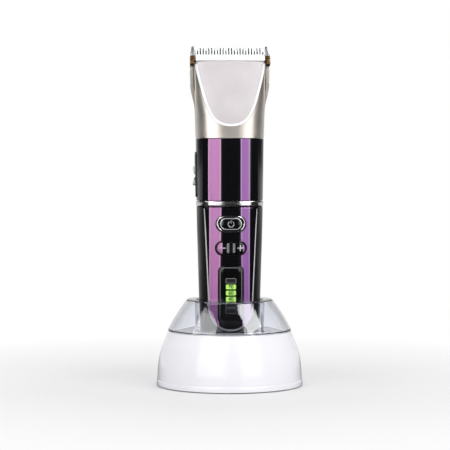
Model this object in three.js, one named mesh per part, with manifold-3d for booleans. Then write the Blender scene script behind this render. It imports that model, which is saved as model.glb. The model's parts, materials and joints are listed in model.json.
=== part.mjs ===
// Cordless pet clipper standing in its charging stand.
// Millimetres, +Z up, the front faces -Y. The origin is the centre of the stand on the surface it stands on.

import * as THREE from 'three';
import { mergeVertices } from 'three/addons/utils/BufferGeometryUtils.js';
import Module from 'manifold-3d';

const wasm = await Module();
wasm.setup();

// ---------------------------------------------------------------- driving dimensions

const GAP = 0.3; // running and assembly gap between neighbours
const WALL = 2.0; // moulded wall of the handset
const RING_SEGMENTS = 28; // facets around the handset

const HANDSET_BOTTOM = 35.0;
const RING_BOTTOM = 116.9;
const RING_TOP = 120.5;
const HEAD_BOTTOM = 161.0;
const FRONT_SHELL_TOP = 210.8;
const COMB_BOTTOM = 211.2;

// Sections of the handset body: height, half width, depth to the front, depth to the back,
// and how square the corners are (2 is an ellipse, larger is boxier).
const BODY_SECTIONS = [
  [35.0, 19.4, 16.8, 16.8, 2.6],
  [61.0, 20.1, 17.2, 17.4, 2.6],
  [117.0, 21.6, 18.0, 18.6, 2.6],
  [161.0, 22.2, 18.6, 19.2, 2.6],
];

// Sections of the head's front shell, and of its wider rear cover.
const HEAD_SECTIONS = [
  [161.0, 22.2, 18.6, 19.2, 2.9],
  [175.0, 22.5, 17.6, 19.0, 2.9],
  [190.0, 22.9, 14.6, 16.4, 3.3],
  [211.0, 23.3, 9.6, 9.0, 4.2],
];
const COVER_SECTIONS = [
  [161.0, 22.2, 18.6, 19.2, 2.9],
  [177.0, 22.7, 17.2, 19.0, 2.9],
  [183.0, 23.2, 16.2, 18.2, 2.9],
  [187.0, 24.2, 15.2, 17.4, 2.9],
  [191.0, 25.1, 14.4, 16.3, 2.9],
  [195.0, 25.7, 13.4, 15.0, 2.9],
  [208.0, 25.9, 10.2, 10.0, 2.9],
  [214.0, 25.9, 8.6, 7.2, 2.9],
];
const HEAD_SPLIT_Y = -3.0;
const COVER_TOP = 213.8;
const FLANK_TOP = 208.2;
const FLANK_GROOVES = [197.6, 206.2];

const BODY_SPLIT_Y = 6.0;

// Blade group, built flat and then leaned back by BLADE_LEAN.
const BLADE_LEAN = THREE.MathUtils.degToRad(18);
const BLADE_FRONT_Y = -9.0;
const COMB_HALF_WIDTH = 22.4;
const COMB_HEIGHT = 10.0;
const COMB_THICKNESS = 1.5;
const COMB_GAPS = 24;
const COMB_PITCH = 1.84;
const COMB_GAP_WIDTH = 0.75;
const COMB_GAP_DEPTH = 5.9;
const CUTTER_HALF_WIDTH = 20.2;
const CUTTER_GAPS = 15;
const CUTTER_PITCH = 2.6;
const CUTTER_SETBACK = 0.45; // the cutter's tips stay this far below the comb's
const CARRIER_HALF_WIDTH = 25.9;

// Drive train.
const DRIVE_Y = 2.0;
const LEVER_PIVOT_Z = 195.0;
const ECCENTRIC_OFFSET = 0.7;
const MOTOR_RADIUS = 11.0;

// Controls on the front.
const POWER_Z = 105.8;
const ADJUST_Z = 90.2;
const DISPLAY_TOP = 77.9;
const DISPLAY_BOTTOM = 42.0;
const DISPLAY_HALF_WIDTH = 6.6;
const LEVEL_BARS = 6;
const TOP_BAR_Z = 69.1;
const BAR_PITCH = 3.95;

// Side slider: a thumb piece running in the slot of a raised bezel.
const BEZEL_BOTTOM = 122.9;
const BEZEL_TOP = 152.2;
const BEZEL_HALF_DEPTH = 4.8;
const THUMB_BOTTOM = 130.4;
const THUMB_TOP = 143.4;
const SLIDER_TRAVEL = 6.5;

// Stand.
const COVER_RIM_Z = 56.0;
const COVER_RIM_RADIUS = 27.3;
const COVER_FOOT_Z = 36.1;
const COVER_FOOT_RADIUS = 40.3;
const STAND_SEGMENTS = 36;
const SEAT_TOP = 34.7;
const DECK_TOP = 35.6;
const CHARGE_PIN_X = 7.0;
const INLET_Z = 12.5;

// ---------------------------------------------------------------- solids and booleans

function solid(geometry) {
  const bare = geometry.clone();
  bare.deleteAttribute('normal');
  bare.deleteAttribute('uv');
  const merged = mergeVertices(bare, 1e-4);
  return new wasm.Manifold(new wasm.Mesh({
    numProp: 3,
    vertProperties: new Float32Array(merged.attributes.position.array),
    triVerts: new Uint32Array(merged.index.array),
  }));
}

function geometryOf(manifold) {
  const mesh = manifold.getMesh();
  const geometry = new THREE.BufferGeometry();
  geometry.setAttribute('position', new THREE.BufferAttribute(new Float32Array(mesh.vertProperties), 3));
  geometry.setIndex(new THREE.BufferAttribute(new Uint32Array(mesh.triVerts), 1));
  geometry.computeVertexNormals();
  return geometry;
}

function join(first, ...others) {
  return others.reduce((sum, other) => sum.add(other), first);
}

function cut(first, ...others) {
  return others.reduce((rest, other) => rest.subtract(other), first);
}

function box(x0, x1, y0, y1, z0, z1) {
  const geometry = new THREE.BoxGeometry(x1 - x0, y1 - y0, z1 - z0);
  geometry.translate((x0 + x1) / 2, (y0 + y1) / 2, (z0 + z1) / 2);
  return solid(geometry);
}

// Upright cylinder.
function post(x, y, z0, z1, radius, segments = 16) {
  const geometry = new THREE.CylinderGeometry(radius, radius, z1 - z0, segments);
  geometry.rotateX(Math.PI / 2);
  geometry.translate(x, y, (z0 + z1) / 2);
  return solid(geometry);
}

// Cylinder lying along Y.
function rod(x, z, y0, y1, radius, segments = 12) {
  const geometry = new THREE.CylinderGeometry(radius, radius, y1 - y0, segments);
  geometry.translate(x, (y0 + y1) / 2, z);
  return solid(geometry);
}

// A drawing in X and Z pushed through from y0 to y1.
function slab(shape, y0, y1, curveSegments = 5) {
  const geometry = new THREE.ExtrudeGeometry(shape, { depth: y1 - y0, bevelEnabled: false, curveSegments });
  geometry.rotateX(Math.PI / 2);
  geometry.translate(0, y1, 0);
  return solid(geometry);
}

function outline(points) {
  return new THREE.Shape(points.map(([x, z]) => new THREE.Vector2(x, z)));
}

// A drawing in Y and Z pushed through from x0 to x1.
function beam(points, x0, x1) {
  const geometry = new THREE.ExtrudeGeometry(outline(points), { depth: x1 - x0, bevelEnabled: false });
  const toX = new THREE.Matrix4().makeBasis(
    new THREE.Vector3(0, 1, 0),
    new THREE.Vector3(0, 0, 1),
    new THREE.Vector3(1, 0, 0),
  );
  geometry.applyMatrix4(toX);
  geometry.translate(x0, 0, 0);
  return solid(geometry);
}

// Rounded rectangle drawn in X and Z.
function pad(x0, x1, z0, z1, radius) {
  const shape = new THREE.Shape();
  shape.moveTo(x0 + radius, z0);
  shape.lineTo(x1 - radius, z0);
  shape.absarc(x1 - radius, z0 + radius, radius, -Math.PI / 2, 0, false);
  shape.lineTo(x1, z1 - radius);
  shape.absarc(x1 - radius, z1 - radius, radius, 0, Math.PI / 2, false);
  shape.lineTo(x0 + radius, z1);
  shape.absarc(x0 + radius, z1 - radius, radius, Math.PI / 2, Math.PI, false);
  shape.lineTo(x0, z0 + radius);
  shape.absarc(x0 + radius, z0 + radius, radius, Math.PI, Math.PI * 1.5, false);
  return shape;
}

function between(sections, z) {
  const last = sections.length - 1;
  if (z <= sections[0][0]) return sections[0].slice(1);
  if (z >= sections[last][0]) return sections[last].slice(1);
  const k = sections.findIndex((section) => section[0] > z);
  const low = sections[k - 1];
  const high = sections[k];
  const t = (z - low[0]) / (high[0] - low[0]);
  return low.slice(1).map((value, i) => value + (high[i + 1] - value) * t);
}

// A rounded-box solid whose rings follow the sections, set in from them by inset.
// Each level is a height, or a height with an extra inset of its own.
function loft(sections, levels, inset = 0, segments = RING_SEGMENTS) {
  const rings = levels.map((level) => {
    const [z, extra] = Array.isArray(level) ? level : [level, 0];
    const [half, front, back, power] = between(sections, z);
    const trim = inset + extra;
    return { z, half: half - trim, front: front - trim, back: back - trim, power };
  });
  const geometry = new THREE.CylinderGeometry(1, 1, 1, segments, rings.length - 1);
  geometry.rotateX(Math.PI / 2);
  const position = geometry.attributes.position;
  for (let i = 0; i < position.count; i += 1) {
    const x = position.getX(i);
    const y = position.getY(i);
    const ring = rings[Math.round((position.getZ(i) + 0.5) * (rings.length - 1))];
    const bend = (v) => (Math.abs(v) < 1e-6 ? 0 : Math.sign(v) * Math.abs(v) ** (2 / ring.power));
    const depth = y < 0 ? ring.front : ring.back;
    position.setXYZ(i, ring.half * bend(x), depth * bend(y), ring.z);
  }
  return solid(geometry);
}

function body(levels, inset = 0) {
  return loft(BODY_SECTIONS, levels, inset);
}

function head(levels, inset = 0) {
  return loft(HEAD_SECTIONS, levels, inset);
}

function headCover(levels, inset = 0) {
  return loft(COVER_SECTIONS, levels, inset);
}

// A ring or bowl turned about the Z axis from a closed profile of radius and height.
function turned(profile, segments = STAND_SEGMENTS) {
  const points = [...profile, profile[0]].map(([r, z]) => new THREE.Vector2(r, z));
  const geometry = new THREE.LatheGeometry(points, segments);
  geometry.rotateX(Math.PI / 2);
  const result = solid(geometry);
  if (result.volume() > 0) return result;
  geometry.index.array.reverse();
  return solid(geometry);
}

// ---------------------------------------------------------------- finishes and scene

const FINISHES = {
  champagne: { color: 0xcfc6bd, roughness: 0.32, metalness: 0.75 },
  plate: { color: 0xe6dfe0, roughness: 0.28, metalness: 0.35 },
  steel: { color: 0xc9c9cb, roughness: 0.3, metalness: 0.95 },
  comb: { color: 0xf0f0f0, roughness: 0.3, metalness: 0.3 },
  ceramic: { color: 0xb9b9ba, roughness: 0.35, metalness: 0.0 },
  brass: { color: 0xb08a4a, roughness: 0.35, metalness: 0.9 },
  purple: { color: 0x8a4f94, roughness: 0.15, metalness: 0.5 },
  black: { color: 0x0b0b0d, roughness: 0.18, metalness: 0.0 },
  blackMatte: { color: 0x161618, roughness: 0.6, metalness: 0.0 },
  chrome: { color: 0xe8e8ea, roughness: 0.08, metalness: 1.0 },
  smoke: { color: 0x1b1d1b, roughness: 0.08, metalness: 0.0 },
  level: { color: 0xa8d468, roughness: 0.4, metalness: 0.0 },
  board: { color: 0x1f5a37, roughness: 0.5, metalness: 0.0 },
  cell: { color: 0x3b6fb0, roughness: 0.35, metalness: 0.0 },
  gold: { color: 0xd8b25a, roughness: 0.2, metalness: 1.0 },
  clear: { color: 0xe6ebf0, roughness: 0.04, metalness: 0.0, transparent: true, opacity: 0.35 },
  white: { color: 0xf4f4f6, roughness: 0.2, metalness: 0.0 },
  rubber: { color: 0x2a2a2a, roughness: 0.9, metalness: 0.0 },
};

const group = new THREE.Group();
group.name = 'pet_clipper';

function add(name, manifold, finish, parent = group) {
  const mesh = new THREE.Mesh(geometryOf(manifold), new THREE.MeshStandardMaterial(FINISHES[finish]));
  mesh.name = name;
  parent.add(mesh);
  return mesh;
}

// ---------------------------------------------------------------- handset body

const FRONT_REACH = -40;
const panelTop = RING_BOTTOM - GAP;

// The front panel is a long tongue with a round lower end.
function panelOutline(grow) {
  const shape = new THREE.Shape();
  shape.moveTo(17.6 + grow, panelTop + 1);
  shape.lineTo(-17.6 - grow, panelTop + 1);
  shape.lineTo(-14.7 - grow, 54);
  shape.bezierCurveTo(-14.1 - grow, 46, -11.4 - grow, 36.6 - grow, 0, 36.6 - grow);
  shape.bezierCurveTo(11.4 + grow, 36.6 - grow, 14.1 + grow, 46, 14.7 + grow, 54);
  return shape;
}

// The display opening, widened by side and lengthened by end.
function displayPad(side, end) {
  const half = DISPLAY_HALF_WIDTH + side;
  return pad(-half, half, DISPLAY_BOTTOM - end, DISPLAY_TOP + end, 2.2 + side * 0.65);
}

const roundedFoot = [[HANDSET_BOTTOM, 2.0], [HANDSET_BOTTOM + 0.6, 0.8], [HANDSET_BOTTOM + 1.6, 0]];
const lowerLevels = [...roundedFoot, 61, 90, panelTop];
const lowerOuter = body(lowerLevels);
const lowerInner = body([HANDSET_BOTTOM + 2.2, 61, 90, panelTop + 2], WALL);
const panelHole = slab(panelOutline(GAP / 2), FRONT_REACH, -5);
const contactHoles = [-CHARGE_PIN_X, CHARGE_PIN_X].map((x) => post(x, 0, 30, 40, 3.0));
add('lower_shell', cut(lowerOuter, lowerInner, panelHole, ...contactHoles), 'blackMatte');

const panelSkin = body([HANDSET_BOTTOM + 0.6, 61, 90, panelTop]);
const panelBack = body([HANDSET_BOTTOM - 3, 61, 90, panelTop + 2], WALL);
const panelSlab = slab(panelOutline(-GAP / 2), FRONT_REACH, -5);
const powerPad = pad(-10, 10, POWER_Z - 5.5, POWER_Z + 5.5, 5.49);
const adjustPad = pad(-10.4, 10.4, ADJUST_Z - 4.9, ADJUST_Z + 4.9, 4.89);
const displayHole = displayPad(1.8, 1.0);
add('front_panel', cut(
  panelSkin.intersect(panelSlab),
  panelBack,
  slab(powerPad, FRONT_REACH, 0),
  slab(adjustPad, FRONT_REACH, 0),
  slab(displayHole, FRONT_REACH, 0),
), 'purple');

[-CHARGE_PIN_X, CHARGE_PIN_X].forEach((x, i) => {
  const contact = join(post(x, 0, HANDSET_BOTTOM + 0.2, 37.6, 2.7), post(x, 0, 37.4, 38.4, 3.8));
  add(`charge_contact_${i + 1}`, contact, 'gold');
});

add('trim_ring', cut(
  body([[RING_BOTTOM, 0], [RING_BOTTOM + 0.5, -0.3], [RING_TOP - 0.5, -0.3], [RING_TOP, 0]]),
  body([RING_BOTTOM - 1, RING_TOP + 1], WALL),
), 'chrome');

const upperBottom = RING_TOP + GAP;
const upperTop = HEAD_BOTTOM - GAP;
const upperShell = cut(body([upperBottom, 140, upperTop]), body([upperBottom - 1, 140, upperTop + 1], WALL));
const bezelPocket = box(
  -30, -20.75, -BEZEL_HALF_DEPTH - GAP, BEZEL_HALF_DEPTH + GAP, BEZEL_BOTTOM - GAP, BEZEL_TOP + GAP,
);
const screwHeights = [128, 152];
const screwHoles = screwHeights.map((z) => rod(0, z, 14, 30, 2.2));
const behindSplit = box(-40, 40, BODY_SPLIT_Y, 40, 100, 200);
const beforeSplit = box(-40, 40, -40, BODY_SPLIT_Y - GAP, 100, 200);
add('upper_front_shell', cut(upperShell.intersect(beforeSplit), bezelPocket), 'purple');
add('upper_rear_shell', cut(upperShell.intersect(behindSplit), ...screwHoles), 'black');

screwHeights.forEach((z, i) => {
  const screw = cut(
    join(rod(0, z, 13.6, 17.4, 1.1), rod(0, z, 17.2, 18.3, 1.9)),
    box(-1.3, 1.3, 17.7, 19, z - 0.25, z + 0.25),
    box(-0.25, 0.25, 17.7, 19, z - 1.3, z + 1.3),
  );
  add(`body_screw_${i + 1}`, screw, 'steel');
});

const bezelBlock = body([BEZEL_BOTTOM, 140, BEZEL_TOP], -0.8).intersect(
  box(-30, -21.05, -BEZEL_HALF_DEPTH, BEZEL_HALF_DEPTH, BEZEL_BOTTOM, BEZEL_TOP),
);
const bezelSlot = box(-30, -20, -3.5, 3.5, THUMB_BOTTOM - GAP, THUMB_TOP + SLIDER_TRAVEL + GAP);
const flangeRoom = box(-21.95, -20, -4.3, 4.3, THUMB_BOTTOM - 1.2, THUMB_TOP + SLIDER_TRAVEL + 1.2);
add('slider_bezel', cut(bezelBlock, bezelSlot, flangeRoom), 'black');

// The thumb piece is hollowed between two lips and is held in the bezel by the flange behind it.
const thumbShape = outline([
  [-21.3, 130.4], [-23.5, 130.5], [-24.0, 131.3], [-23.9, 132.7], [-22.9, 134.1], [-22.6, 136.0],
  [-22.7, 137.7], [-23.2, 139.1], [-24.0, 140.4], [-24.0, 142.0], [-23.4, 142.9], [-21.3, 143.4],
]);
const flange = box(-21.65, -21.05, -4.0, 4.0, THUMB_BOTTOM - 0.9, THUMB_TOP + 0.9);
add('taper_slider', join(slab(thumbShape, -3.2, 3.2), flange), 'blackMatte');

// ---------------------------------------------------------------- buttons and display

function onSkin(shape, proud, backInset) {
  const skin = cut(body([HANDSET_BOTTOM, 61, 90, panelTop], -proud), body([30, 61, 90, 118], backInset));
  return slab(shape, FRONT_REACH, -6).intersect(skin);
}

function pill(halfWidth, z, halfHeight, proud, backInset) {
  const shape = pad(-halfWidth, halfWidth, z - halfHeight, z + halfHeight, halfHeight - 0.01);
  return onSkin(shape, proud, backInset);
}

function pillHole(halfWidth, z, halfHeight) {
  return slab(pad(-halfWidth, halfWidth, z - halfHeight, z + halfHeight, halfHeight - 0.01), FRONT_REACH, 0);
}

add('power_bezel', cut(pill(9.6, POWER_Z, 5.1, 0.5, 1.6), pillHole(8.1, POWER_Z, 4.5)), 'chrome');
add('power_button', pill(7.8, POWER_Z, 4.2, 0.7, 2.4), 'purple');
add('adjust_bezel', cut(pill(10.1, ADJUST_Z, 4.6, 0.3, 1.6), pillHole(9.3, ADJUST_Z, 3.9)), 'black');
const adjustPill = pill(9.0, ADJUST_Z, 3.6, 0.7, 2.4);
add('minus_button', adjustPill.intersect(box(-20, -0.7, -40, 0, 80, 100)), 'purple');
add('plus_button', adjustPill.intersect(box(0.7, 20, -40, 0, 80, 100)), 'purple');

const frameHole = slab(displayPad(0.3, -0.5), FRONT_REACH, 0);
add('display_frame', cut(onSkin(displayPad(1.5, 0.7), 0.2, 1.7), frameHole), 'black');
add('display_window', onSkin(displayPad(0, -0.8), 0, 0.9), 'smoke');

// Light guide behind the window: one raised bar for each charge step.
const guideBack = box(-6.2, 6.2, -14.2, -13.6, DISPLAY_BOTTOM + 1.5, DISPLAY_TOP - 1.5);
const levelBars = Array.from({ length: LEVEL_BARS }, (_, k) => {
  const z = TOP_BAR_Z - k * BAR_PITCH;
  return box(-3.6, 3.6, -15.0, -14.1, z - 1.6, z + 1.6);
});
add('level_guide', join(guideBack, ...levelBars), 'level');

add('control_board', box(-11, 11, -12.6, -11.4, 41, 112), 'board');
function tactSwitch(name, x, z) {
  const housing = box(x - 2.5, x + 2.5, -13.9, -12.9, z - 2.5, z + 2.5);
  add(name, join(housing, rod(x, z, -14.2, -13.8, 1.2, 12)), 'blackMatte');
}

tactSwitch('power_switch', 0, POWER_Z);
tactSwitch('minus_switch', -5, ADJUST_Z);
tactSwitch('plus_switch', 5, ADJUST_Z);

// ---------------------------------------------------------------- battery and drive train

const CELL_Y = 2.6;
add('battery_cell', join(post(0, CELL_Y, 42, 105.6, 9.2), post(0, CELL_Y, 105.4, 106.8, 3.0)), 'cell');
const cradle = cut(
  post(0, CELL_Y, 40, 104, 10.8),
  post(0, CELL_Y, 41.6, 110, 9.5),
  box(-20, 20, -20, CELL_Y, 41.6, 110),
  box(-4, 4, 0, 20, 60, 90),
);
add('battery_cradle', cradle, 'blackMatte');

const motor = join(
  post(0, DRIVE_Y, 128, 168, MOTOR_RADIUS, 24),
  post(0, DRIVE_Y, 126, 128.2, 4),
  post(0, DRIVE_Y, 167.8, 170, 4),
);
add('motor', motor, 'steel');
const mountPlate = head([170.9, 173.4], WALL + 0.5);
add('motor_mount', cut(mountPlate, post(0, DRIVE_Y, 165, 180, 3.2)), 'blackMatte');

const pinY = DRIVE_Y - ECCENTRIC_OFFSET;
add('eccentric_shaft', join(
  post(0, DRIVE_Y, 170.3, 178, 1.4, 12),
  post(0, DRIVE_Y, 177, 181, 4.0),
  post(0, pinY, 180.8, 187, 0.9, 12),
), 'steel');

// The lever rocks about the Y axis: a fork below straddles the eccentric pin,
// a finger above drives the cutter.
const leverPlate = join(
  rod(0, LEVER_PIVOT_Z, 0.5, 3.5, 4.2),
  box(-4.8, 4.8, 0.5, 3.5, 188.4, 192.5),
  box(-4.8, -2.8, 0.5, 3.5, 182.2, 189),
  box(2.8, 4.8, 0.5, 3.5, 182.2, 189),
  box(-2.2, 2.2, 0.5, 3.5, 198, 212.4),
  box(-1.5, 1.5, -3.6, 3.5, 209.6, 212.4),
);
add('drive_lever', cut(leverPlate, rod(0, LEVER_PIVOT_Z, -1, 5, 1.8)), 'blackMatte');

const pivotPin = join(rod(0, LEVER_PIVOT_Z, -0.6, 6.8, 1.5), rod(0, LEVER_PIVOT_Z, -1.4, -0.4, 2.6));
add('lever_pivot_pin', pivotPin, 'steel');
const driveBracket = join(
  box(-9, 9, 4.2, 7.4, 174.2, 200),
  box(-12, 12, 4.2, 12, 173.7, 176.2),
);
add('drive_bracket', cut(
  driveBracket,
  rod(0, LEVER_PIVOT_Z, 0, 9, 1.8),
  post(0, DRIVE_Y, 170, 183, 5),
).intersect(headCover([173, 177, 183, 187, 191, 195, 202], WALL + 0.4)), 'steel');

// ---------------------------------------------------------------- head

const headLevels = [HEAD_BOTTOM, 168, 175, 190, 200, FRONT_SHELL_TOP];
const beforeHeadSplit = box(-40, 40, -40, HEAD_SPLIT_Y - GAP / 2, 150, 230);
const behindHeadSplit = box(-40, 40, HEAD_SPLIT_Y + GAP / 2, 40, 150, 230);
const headInside = head([HEAD_BOTTOM - 1, 168, 175, 190, 200, FRONT_SHELL_TOP + 1], WALL);

function plateOutline(grow) {
  const top = FRONT_SHELL_TOP + 2 * grow;
  const side = [[23.0, top], [22.3, 205.2], [20.6, 198], [18.8, 191], [16.6, 183.4], [14.9, 179.1]];
  const shape = new THREE.Shape();
  side.forEach(([x, z], i) => (i ? shape.lineTo(x + grow, z) : shape.moveTo(x + grow, z)));
  shape.bezierCurveTo(12.8 + grow, 174.2 - grow, 9.4 + grow, 168.5 - grow, 0, 168.5 - grow);
  shape.bezierCurveTo(-9.4 - grow, 168.5 - grow, -12.8 - grow, 174.2 - grow, -14.9 - grow, 179.1);
  side.slice(0, -1).reverse().forEach(([x, z]) => shape.lineTo(-x - grow, z));
  return shape;
}

const plateRecess = cut(slab(plateOutline(GAP), FRONT_REACH, -4), head(headLevels.concat(220), 0.8));
const headFront = head(headLevels).intersect(beforeHeadSplit);
add('head_front_shell', cut(headFront, headInside, plateRecess), 'champagne');

const plateFront = head([164, 168, 175, 190, 200, FRONT_SHELL_TOP], -0.8);
const plateRear = head([163, 168, 175, 190, 200, FRONT_SHELL_TOP + 1], 0.5);
add('face_plate', slab(plateOutline(0), FRONT_REACH, -4).intersect(plateFront).subtract(plateRear), 'plate');

const coverLevels = [HEAD_BOTTOM, 177, 183, 187, 191, 195, 208, COVER_TOP];
const coverOuter = headCover(coverLevels).intersect(behindHeadSplit);
const coverInner = headCover([HEAD_BOTTOM - 1, 177, 187, 195, 208, COVER_TOP - 1.6], WALL);
const aboveFlanks = box(-40, 40, -40, 0.6, FLANK_TOP, 230);
const grooves = FLANK_GROOVES.flatMap((z) => [
  box(25.2, 30, -20, 9, z - 0.45, z + 0.45),
  box(-30, -25.2, -20, 9, z - 0.45, z + 0.45),
]);
const leverSlot = box(-4.4, 4.4, -5, 4.6, 200, 220);
add('head_rear_cover', cut(coverOuter, coverInner, aboveFlanks, leverSlot, ...grooves), 'champagne');

// ---------------------------------------------------------------- blade group

const blade = new THREE.Group();
blade.position.set(0, BLADE_FRONT_Y, COMB_BOTTOM);
blade.rotation.x = -BLADE_LEAN;
group.add(blade);

// A toothed outline: straight below, with gaps cut down from the top edge and tapered tooth tips.
function toothed(halfWidth, bottom, top, gaps, pitch, gapWidth, gapDepth) {
  const points = [[-halfWidth, bottom], [halfWidth, bottom], [halfWidth, top - 0.8], [halfWidth - 0.5, top]];
  for (let k = gaps - 1; k >= 0; k -= 1) {
    const x = (k - (gaps - 1) / 2) * pitch;
    const flare = gapWidth * 0.65;
    points.push([x + flare, top], [x + gapWidth / 2, top - 1.2], [x + gapWidth / 2, top - gapDepth]);
    points.push([x - gapWidth / 2, top - gapDepth], [x - gapWidth / 2, top - 1.2], [x - flare, top]);
  }
  points.push([-halfWidth + 0.5, top], [-halfWidth, top - 0.8]);
  return outline(points);
}

const combShape = toothed(
  COMB_HALF_WIDTH, 0.1, COMB_HEIGHT, COMB_GAPS, COMB_PITCH, COMB_GAP_WIDTH, COMB_GAP_DEPTH,
);
const tipBevel = beam([[-2, 6.4], [0, 6.4], [0.8, COMB_HEIGHT + 0.4], [-2, COMB_HEIGHT + 0.4]], -30, 30);
add('comb_blade', cut(slab(combShape, 0, COMB_THICKNESS), tipBevel), 'comb', blade);

const CUTTER_FRONT = COMB_THICKNESS + GAP;
const CUTTER_BACK = CUTTER_FRONT + 1.6;
const cutterTop = COMB_HEIGHT - CUTTER_SETBACK;
const cutterShape = toothed(CUTTER_HALF_WIDTH, 5.1, cutterTop, CUTTER_GAPS, CUTTER_PITCH, 0.9, 3.5);
const cutterRoot = box(-17, 17, CUTTER_FRONT, CUTTER_BACK, 0.6, 5.3);
add('moving_cutter', join(slab(cutterShape, CUTTER_FRONT, CUTTER_BACK), cutterRoot), 'ceramic', blade);

const CARRIER_FRONT = CUTTER_BACK + GAP;
const CARRIER_BACK = CARRIER_FRONT + 1.5;
add('cutter_yoke', cut(
  box(-8, 8, CARRIER_FRONT, CARRIER_FRONT + 3.1, 0.8, 4.8),
  box(-1.85, 1.85, 0, 10, 0, 3.9),
), 'blackMatte', blade);

const SCREW_X = 21.0;
const SCREW_V = 3.0;
const wingInner = COMB_HALF_WIDTH + GAP;
const wing = outline([
  [wingInner, 3.5], [CARRIER_HALF_WIDTH, 3.5], [CARRIER_HALF_WIDTH - 0.1, 4.8], [25.0, 9.8], [wingInner, 9.8],
]);
const wingPair = slab(wing, 0.3, CARRIER_BACK);
const carrier = join(
  box(-22.4, 22.4, CARRIER_FRONT, CARRIER_BACK, 1.8, 8.4),
  box(-15.5, 15.5, CARRIER_FRONT, CARRIER_BACK, 0, 2),
  box(-CARRIER_HALF_WIDTH, CARRIER_HALF_WIDTH, CARRIER_FRONT, CARRIER_BACK, 3.5, 7.0),
  box(-12, 12, CARRIER_FRONT, CARRIER_BACK, -5, 0.2),
  wingPair,
  wingPair.mirror([1, 0, 0]),
);
add('blade_carrier', cut(
  carrier,
  box(-9.6, 9.6, 0, 10, -0.2, 5.4),
  box(SCREW_X - 1.15, SCREW_X + 1.15, CARRIER_FRONT - 1, 10, SCREW_V - 3, SCREW_V + 1.9),
  box(-SCREW_X - 1.15, -SCREW_X + 1.15, CARRIER_FRONT - 1, 10, SCREW_V - 3, SCREW_V + 1.9),
), 'steel', blade);

[-1, 1].forEach((side, i) => {
  const sideBox = (near, far, ...rest) => {
    const [x0, x1] = [side * near, side * far].sort((a, b) => a - b);
    return box(x0, x1, ...rest);
  };
  const guide = cut(
    join(sideBox(23.6, 26.0, 0.6, CARRIER_BACK, -2, 3.2), sideBox(22.7, 23.7, 0.6, 1.6, 0.5, 3.2)),
    sideBox(22, 27, 0, 1.1, 1.2, 1.9),
  );
  add(`blade_guide_${i + 1}`, guide, 'brass', blade);
  const x = side * SCREW_X;
  const screw = join(
    rod(x, SCREW_V, CUTTER_FRONT, CARRIER_BACK + 0.5, 0.8),
    rod(x, SCREW_V, CARRIER_BACK + GAP, CARRIER_BACK + 1.3, 1.4),
  );
  add(`comb_screw_${i + 1}`, screw, 'steel', blade);
});

// ---------------------------------------------------------------- charging stand

const socketHole = body([20, 61], -1.2);
const coverWall = turned([
  [COVER_FOOT_RADIUS, COVER_FOOT_Z],
  [35.1, 45.4],
  [28.5, 55.2],
  [COVER_RIM_RADIUS, COVER_RIM_Z],
  [16, COVER_RIM_Z],
  [16, COVER_RIM_Z - 1.6],
  [26.4, COVER_RIM_Z - 1.6],
  [33.2, 45.0],
  [38.2, COVER_FOOT_Z],
]);
const socketWall = body([36.4, 61], -2.8).intersect(box(-30, 30, -30, 30, 36, COVER_RIM_Z - 1));
add('stand_cover', cut(join(coverWall, socketWall), socketHole), 'clear');

const standShell = turned([
  [46.9, 0.8],
  [47.7, 1.6],
  [47.7, 3.2],
  [47.3, 3.8],
  [46.9, 12],
  [45.7, 19],
  [43.8, 26],
  [40.4, 35.2],
  [39.9, DECK_TOP],
  [16, DECK_TOP],
  [16, DECK_TOP - 2.4],
  [38.2, DECK_TOP - 2.4],
  [42.0, 24],
  [44.4, 14],
  [45.1, 0.8],
]);
add('stand_base', cut(standShell, body([20, 61], -3.2), rod(0, INLET_Z, 40, 50, 3.9)), 'white');

const seat = join(body([29.6, SEAT_TOP], -2.9), body([29.6, 32.9], -4.6));
const pinHoles = [-CHARGE_PIN_X, CHARGE_PIN_X].map((x) => post(x, 0, 20, 40, 1.5));
add('charge_seat', cut(seat, ...pinHoles), 'blackMatte');

[-CHARGE_PIN_X, CHARGE_PIN_X].forEach((x, i) => {
  add(`charge_pin_${i + 1}`, join(post(x, 0, 28, 34.9, 1.15, 12), post(x, 0, 28, 29.2, 2.3)), 'gold');
});
add('charge_board', box(-16, 16, -12, 12, 20, 21.6), 'board');

const inletPocket = rod(0, INLET_Z, 35.4, 50, 3.3);
add('power_inlet', cut(box(-5.5, 5.5, 33.5, 42.8, 4.1, 17.5), inletPocket), 'blackMatte');

const FOOT_XY = 26;
const standoffs = [[13, 9], [-13, 9], [-13, -9], [13, -9]].map(([x, y]) => post(x, y, 3.6, 19.7, 2.2, 8));
const screwSeats = [-36, 36].map((x) => post(x, 0, 0, 6, 1.5, 12));
const floorPlate = join(post(0, 0, 1.8, 3.8, 44.7, STAND_SEGMENTS), ...standoffs);
add('stand_floor', cut(floorPlate, ...screwSeats), 'blackMatte');
[-36, 36].forEach((x, i) => {
  add(`stand_screw_${i + 1}`, join(post(x, 0, 1.2, 9, 1.2, 12), post(x, 0, 0.6, 1.5, 2.4)), 'steel');
});
[[1, 1], [-1, 1], [-1, -1], [1, -1]].forEach(([sx, sy], i) => {
  add(`foot_${i + 1}`, post(sx * FOOT_XY, sy * FOOT_XY, 0, 1.5, 5.5), 'rubber');
});

export default group;
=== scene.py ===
import json
import math

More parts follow.
